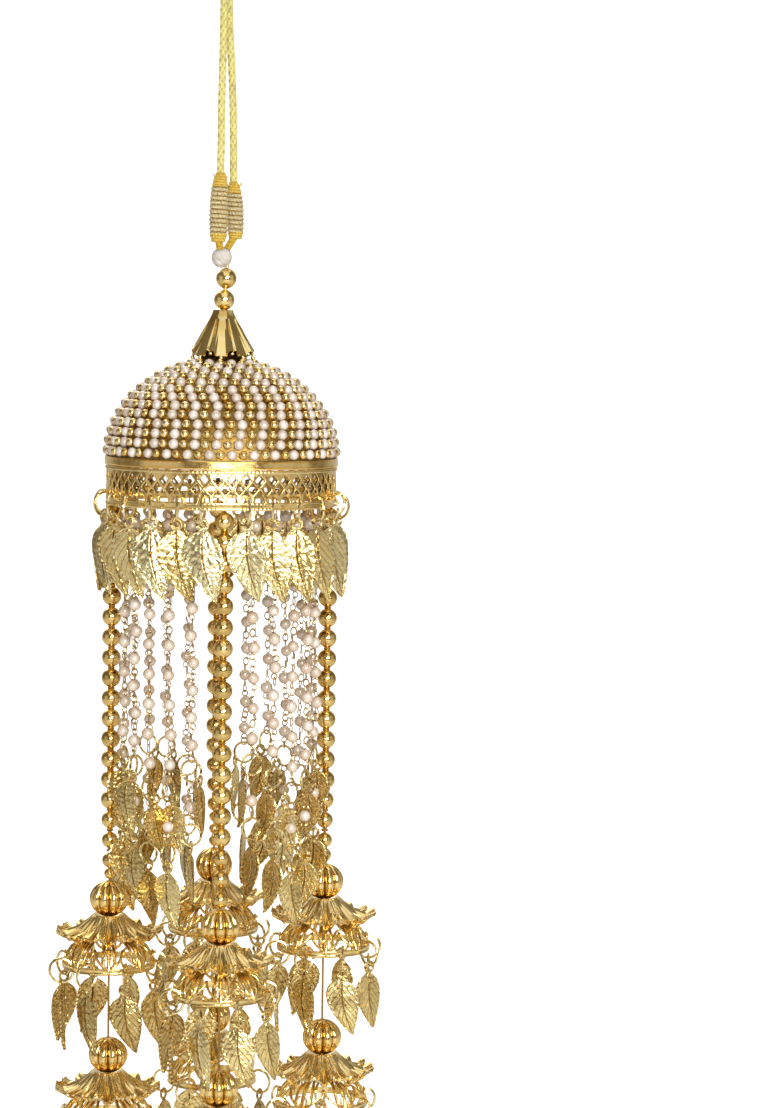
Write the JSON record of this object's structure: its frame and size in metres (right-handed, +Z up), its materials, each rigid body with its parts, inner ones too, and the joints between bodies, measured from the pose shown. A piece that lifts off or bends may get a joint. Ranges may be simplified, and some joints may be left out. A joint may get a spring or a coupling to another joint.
{
  "type": "kalire bridal ornament",
  "caption": "Hanging bridal ornament: a beaded dome on a cord loop, ringed with leaf charms, with pearl chains and gold bead strands that end in tiers of openwork bells.",
  "frame": {"origin": "inside the top of the cord's loop, where it hangs", "axes": "+Z up along the ornament's axis, -Y to the front"},
  "size_m": [0.0948, 0.0948, 0.351],
  "materials": {
    "gold": "polished",
    "leaf_gold": "stamped",
    "dome_beads": "pearlescent",
    "pearl": "pearlescent",
    "gold_cord": "braided metallic thread",
    "wound_thread": "wound metallic thread",
    "silver_thread": "wound metallic thread",
    "string": "twisted thread"
  },
  "bodies": {
    "root": {"cord_loop": "gold_cord", "sleeve_front": "wound_thread", "sleeve_rear": "wound_thread", "thread_ball": "silver_thread", "top_bead_upper": "gold", "top_bead_lower": "gold", "head_pin": "gold", "petal_cap": "gold", "dome_shell": "dome_beads", "rim_strip": "gold", "lattice_band": "gold", "band_rings": "gold", "band_leaves": "leaf_gold", "strand_front_beads": "gold", "strand_right_beads": "gold", "strand_back_beads": "gold", "strand_left_beads": "gold", "strand_front_thread": "string", "strand_right_thread": "string", "strand_back_thread": "string", "strand_left_thread": "string", "pearl_chains_front_right": "pearl", "pearl_chains_back_right": "pearl", "pearl_chains_back_left": "pearl", "pearl_chains_front_left": "pearl", "melon_front_1": "gold", "melon_right_1": "gold", "melon_back_1": "gold", "melon_left_1": "gold", "melon_front_2": "gold", "melon_right_2": "gold", "melon_back_2": "gold", "melon_left_2": "gold", "flower_front_1": "gold", "flower_right_1": "gold", "flower_back_1": "gold", "flower_left_1": "gold", "flower_front_2": "gold", "flower_right_2": "gold", "flower_back_2": "gold", "flower_left_2": "gold", "bell_front_1": "gold", "bell_right_1": "gold", "bell_back_1": "gold", "bell_left_1": "gold", "bell_front_2": "gold", "bell_right_2": "gold", "bell_back_2": "gold", "bell_left_2": "gold", "bell_rings_front": "gold", "bell_rings_right": "gold", "bell_rings_back": "gold", "bell_rings_left": "gold", "bell_leaves_front": "leaf_gold", "bell_leaves_right": "leaf_gold", "bell_leaves_back": "leaf_gold", "bell_leaves_left": "leaf_gold"}
  },
  "joints": []
}
